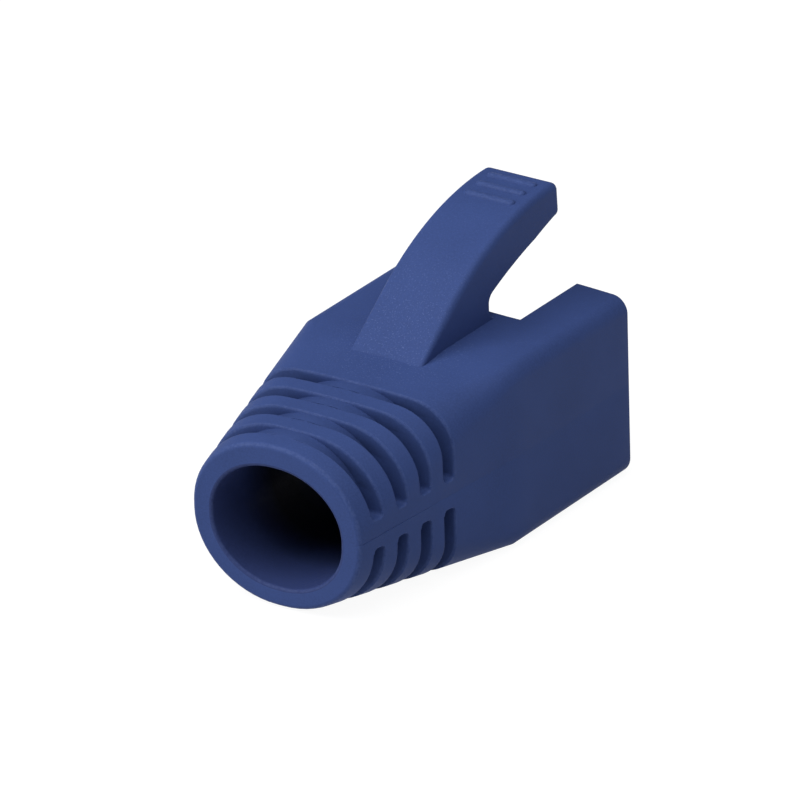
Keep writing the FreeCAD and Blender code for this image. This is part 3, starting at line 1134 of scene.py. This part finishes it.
@dataclass
class Boot:
    """The whole moulding, dressed, in the place of its CAD solid."""

    form: OuterForm = field(default_factory=OuterForm)
    sharp_degrees: float = 32.0
    skin_degrees: float = 24.0
    # Rims that lean this much from the skin get rim wear with painted highlight
    rim_lean: Pair = (14.0, 75.0)
    rim_depth: float = 0.13
    fade_depth: float = 0.12
    # Painted shade in the grooves: the depth it reaches to, and the depth where it is darkest
    groove_reach: float = 0.97
    groove_shade_depth: float = 0.7
    # The grip bars' tops and the mouth's edge get rim wear with painted highlight too
    bars_over_roof: float = 3.0
    mouth_edge: Pair = (0.02, 0.8)
    inner_margin: float = 1.0
    inner_wall: float = 0.95
    outside: MouldedPlastic = MouldedPlastic(
        name="blue_skin", colour=(0.0422, 0.0734, 0.224, 1), pale_wear_and_highlight=(0.11, 0.16, 0.37, 1),
        roughness=0.6, shine=0.1, grain_scale=9000.0, grain_height=0.014, dust=0.6,
        # The grooves get painted shade
        groove_shade=0.5)
    # The inside is smoother; its colour and its paler colour are darker than the outside's as
    # painted shade
    inside: MouldedPlastic = MouldedPlastic(
        name="blue_core_skin", colour=(0.034, 0.052, 0.160, 1), pale_wear_and_highlight=(0.08, 0.12, 0.28, 1),
        roughness=0.55, shine=0.08, grain_scale=7000.0, grain_height=0.008, dust=0.05,
        # Painted shade deep inside
        deep=0.86)

    def build(self) -> Object:
        """Builds the moulding from its forms.

        Returns:
            The finished piece.
        """
        base = self.form.build()
        skin = SmoothSkin(base, math.radians(self.skin_degrees))
        cutters = Grooves(self.form).build() + Hollow(self.form).build()
        mesh = combine(base, [(Joining.ADD, Tongue(self.form).build()),
                              (Joining.CUT, cutters)])
        work = bmesh.new()
        work.from_mesh(mesh)
        bmesh.ops.remove_doubles(work, verts=work.verts, dist=TOUCHING)
        bmesh.ops.dissolve_degenerate(work, edges=work.edges, dist=TOUCHING)
        # The grooves fade out softly where they are shallow
        first, last = (MOUTH_Y + place for place in Grooves(self.form).span)
        for vertex in work.verts:
            if first < vertex.co.y < last:
                vertex.co = skin.eased(vertex.co, self.fade_depth)
        bmesh.ops.scale(work, vec=(MM, MM, MM), verts=work.verts)
        piece = finished("boot_moulding", work)
        piece.data.shade_smooth()
        piece.data.set_sharp_from_angle(angle=math.radians(self.sharp_degrees))
        weighted = piece.modifiers.new("even_shading", "WEIGHTED_NORMAL")
        weighted.keep_sharp = True
        self.even_out(piece, skin)
        self.store_rim_wear_highlight_and_groove_shade(piece, skin)
        return piece

    def store_rim_wear_highlight_and_groove_shade(self, piece: Object, skin: SmoothSkin) -> None:
        """Stores each point's share of rim wear with painted highlight, and of painted shade in
        the grooves, for the finish.

        Args:
            piece: The finished piece.
            skin: The uncut skin of the outside.
        """
        tongue = Tongue(self.form)
        low, high = math.radians(self.rim_lean[0]), math.radians(self.rim_lean[1])
        start, end = self.mouth_edge
        for name in (RIM_WEAR_AND_HIGHLIGHT, PAINTED_GROOVE_SHADE):
            piece.data.attributes.new(name, "FLOAT", "POINT")
        wear_and_highlight, groove_shade = piece.data.attributes[RIM_WEAR_AND_HIGHLIGHT], piece.data.attributes[PAINTED_GROOVE_SHADE]
        for vertex, share, shaded in zip(piece.data.vertices, wear_and_highlight.data, groove_shade.data):
            point = vertex.co / MM
            across = Vector((point.y, point.z)) - tongue.upper_centre
            on_bar = point.z > self.form.body_height + self.bars_over_roof and (
                across.length > tongue.upper_radius + tongue.bar_height / 2)
            on_mouth = start < point.y - MOUTH_Y < self.form.mouth_rounding * end and (
                skin.touches(point))
            lean = skin.lean_at(point, vertex.normal, self.rim_depth)
            # Rim wear with painted highlight on rims, the mouth's edge and the grip bars
            share.value = 1.0 if on_bar or on_mouth or low < lean < high else 0.0
            # Painted shade, darker the deeper a point lies in a groove
            shaded.value = min(1.0, skin.depth_at(point, self.groove_reach) / self.groove_shade_depth)

    def even_out(self, piece: Object, skin: SmoothSkin) -> None:
        """Gives the piece even shading: smooth skin normals where the skin is left.

        Args:
            piece: The piece, with the modifier that weighs its normals.
            skin: The uncut skin of the outside.
        """
        bpy.context.view_layer.update()
        weighed = piece.evaluated_get(bpy.context.evaluated_depsgraph_get()).data
        normals = [corner.vector.copy() for corner in weighed.corner_normals]
        most = math.radians(self.skin_degrees)
        mesh = piece.data
        for face in mesh.polygons:
            for corner, vertex in zip(face.loop_indices, face.vertices):
                point = mesh.vertices[vertex].co / MM
                found = skin.normal_at(point, face.center / MM, face.normal, most)
                if found is not None:
                    normals[corner] = found
        piece.modifiers.clear()
        mesh.normals_split_custom_set(normals)

    def skin_of(self, face: MeshPolygon) -> Skin:
        """Tells which side of the mould formed a face.

        Args:
            face: The face, in metres.

        Returns:
            The side.
        """
        outline = self.form.outline(face.center.y / MM - MOUTH_Y)
        middle = (outline.low + outline.high) / 2
        x, z = face.center.x / MM, face.center.z / MM
        outward = face.normal.x * x + face.normal.z * (z - middle)
        within = self.inner_margin < z < outline.high - self.inner_margin and (
            abs(x) < outline.width_at(z) - self.inner_wall)
        return Skin.INSIDE if outward < 0 and within else Skin.OUTSIDE

    def dress(self, piece: Object) -> None:
        """Gives the piece its finishes, the outer skin and the smoother inside, whose darker
        colour is painted shade.

        Args:
            piece: The finished piece.
        """
        groups = {
            "grain": grain_group(), "dust": dust_group(),
            # Rim wear with painted highlight
            "edge": patchy_group("rubbed_and_highlit_edge", RIM_WEAR_AND_HIGHLIGHT, 5500.0, detail=3.0, patches=(0.35, 0.62)),
            # Painted shade in the grooves
            "groove_shade": patchy_group("groove_painted_shade", PAINTED_GROOVE_SHADE, 900.0, detail=2.0, patches=(0.1, 0.5))}
        for finish in (self.outside, self.inside):
            piece.data.materials.append(finish.material(groups))
        for face in piece.data.polygons:
            face.material_index = self.skin_of(face).value


# Studio


def aim(thing: Object, target: Vector, azimuth: float, elevation: float, distance: float,
        roll: float = 0.0) -> None:
    """Places a lamp or a camera so that it looks at a point.

    Args:
        thing: The lamp or the camera.
        target: The point, in metres.
        azimuth: Its place round the boot, in degrees.
        elevation: Its place over the floor, in degrees.
        distance: How far it stands from the point.
        roll: Turn about its own view, in degrees.
    """
    turn, lift = math.radians(azimuth), math.radians(elevation)
    back = Vector((math.sin(turn) * math.cos(lift), -math.cos(turn) * math.cos(lift),
                   math.sin(lift)))
    tilt = Quaternion((0, 0, 1), math.radians(roll))
    thing.location = target + back * distance
    thing.rotation_euler = (back.to_track_quat("Z", "Y") @ tilt).to_euler()


@dataclass(frozen=True)
class Lamp:
    """A soft square lamp that looks at the boot."""

    name: str
    azimuth: float
    elevation: float
    distance: float
    size: float
    power: float
    colour: tuple[float, float, float] = (1.0, 1.0, 1.0)

    def build(self, target: Vector) -> None:
        """Hangs the lamp.

        Args:
            target: The point that it looks at, in metres.
        """
        light = bpy.data.lights.new(self.name, "AREA")
        light.size = self.size
        light.energy = self.power
        light.color = self.colour
        aim(add_object(self.name, light), target, self.azimuth, self.elevation, self.distance)


@dataclass
class Studio:
    """White floor, soft lamps and the camera of the photograph."""

    azimuth: float = 34.912
    elevation: float = 24.724
    roll: float = -1.656
    distance: float = 0.6
    lens: float = 493.04
    sensor: float = 36.0
    target: tuple[float, float, float] = (-0.00067, 0.000685, 0.007128)
    floor_size: float = 6.0
    ambient: float = 0.11
    floor_glow: float = 0.75
    floor_white: float = 1.25
    floor_matte: float = 0.6
    floor_drop: float = 0.00001
    clip: Pair = (0.01, 50.0)
    lamps: tuple[Lamp, ...] = (
        Lamp("key", -52.0, 43.0, 0.9, 0.6, 3.8),
        Lamp("front", -40.0, 15.0, 0.9, 0.5, 1.8),
        Lamp("fill", 45.0, 12.0, 0.9, 0.6, 0.3),
        Lamp("top", 25.0, 72.0, 0.9, 0.8, 4.3),
        Lamp("back", 104.0, 50.0, 0.9, 0.5, 0.8),
    )

    def camera(self) -> None:
        """Sets up the camera at the photograph's viewing angle."""
        data = bpy.data.cameras.new("camera")
        data.lens = self.lens
        data.sensor_width = self.sensor
        data.clip_start, data.clip_end = self.clip
        camera = add_object("camera", data)
        aim(camera, Vector(self.target), self.azimuth, self.elevation, self.distance, self.roll)
        bpy.context.scene.camera = camera

    def floor(self) -> None:
        """Lays the white floor, which keeps the boot's shadow."""
        half = self.floor_size / 2
        mesh = bmesh.new()
        corners = [(-half, -half), (half, -half), (half, half), (-half, half)]
        mesh.faces.new([mesh.verts.new((x, y, -self.floor_drop)) for x, y in corners])
        floor = finished("floor", mesh)
        floor.data.materials.append(self.white())

    def white(self) -> Material:
        """Makes the white of the floor: it glows for the camera and for reflections.

        Returns:
            The material.
        """
        material = bpy.data.materials.new("floor_white")
        material.use_nodes = True
        tree = material.node_tree
        tree.nodes.clear()
        out = tree.nodes.new("ShaderNodeOutputMaterial")
        matte = add_node(tree, "ShaderNodeBsdfDiffuse", {"Color": (*[self.floor_matte] * 3, 1)})
        glow = add_node(tree, "ShaderNodeEmission", {
            "Color": (1, 1, 1, 1), "Strength": self.floor_white})
        path = tree.nodes.new("ShaderNodeLightPath")
        seen = math_node(tree, "MAXIMUM", path.outputs["Is Camera Ray"],
                         math_node(tree, "MAXIMUM", path.outputs["Is Glossy Ray"],
                                   path.outputs["Is Transmission Ray"]))
        both = add_node(tree, "ShaderNodeMixShader", {
            0: math_node(tree, "MULTIPLY", seen, self.floor_glow), 1: matte.outputs[0],
            2: glow.outputs[0]})
        tree.links.new(both.outputs[0], out.inputs["Surface"])
        return material

    def world(self) -> None:
        """Sets the room's soft light, and white where the camera sees it."""
        world = bpy.data.worlds.new("room")
        world.use_nodes = True
        bpy.context.scene.world = world
        tree = world.node_tree
        shader = tree.nodes["Background"]
        path = tree.nodes.new("ShaderNodeLightPath")
        strength = math_node(tree, "MAXIMUM", path.outputs["Is Camera Ray"], self.ambient)
        shader.inputs["Color"].default_value = (1, 1, 1, 1)
        tree.links.new(strength, shader.inputs["Strength"])

    def build(self) -> None:
        """Builds the whole studio."""
        self.camera()
        self.floor()
        self.world()
        for lamp in self.lamps:
            lamp.build(Vector(self.target))
        bpy.context.scene.view_settings.view_transform = "Standard"


def main() -> None:
    """Builds the boot and its studio in the frame of the CAD model."""
    logging.basicConfig(level=logging.INFO, format="%(name)s: %(message)s")
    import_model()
    boot = Boot()
    piece = boot.build()
    boot.dress(piece)
    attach(piece, "root")
    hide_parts("boot")
    LOG.info("%s: %d faces", piece.name, len(piece.data.polygons))
    Studio().build()
    LOG.info("studio: floor, lamps and camera")


if __name__ == "__main__":
    main()
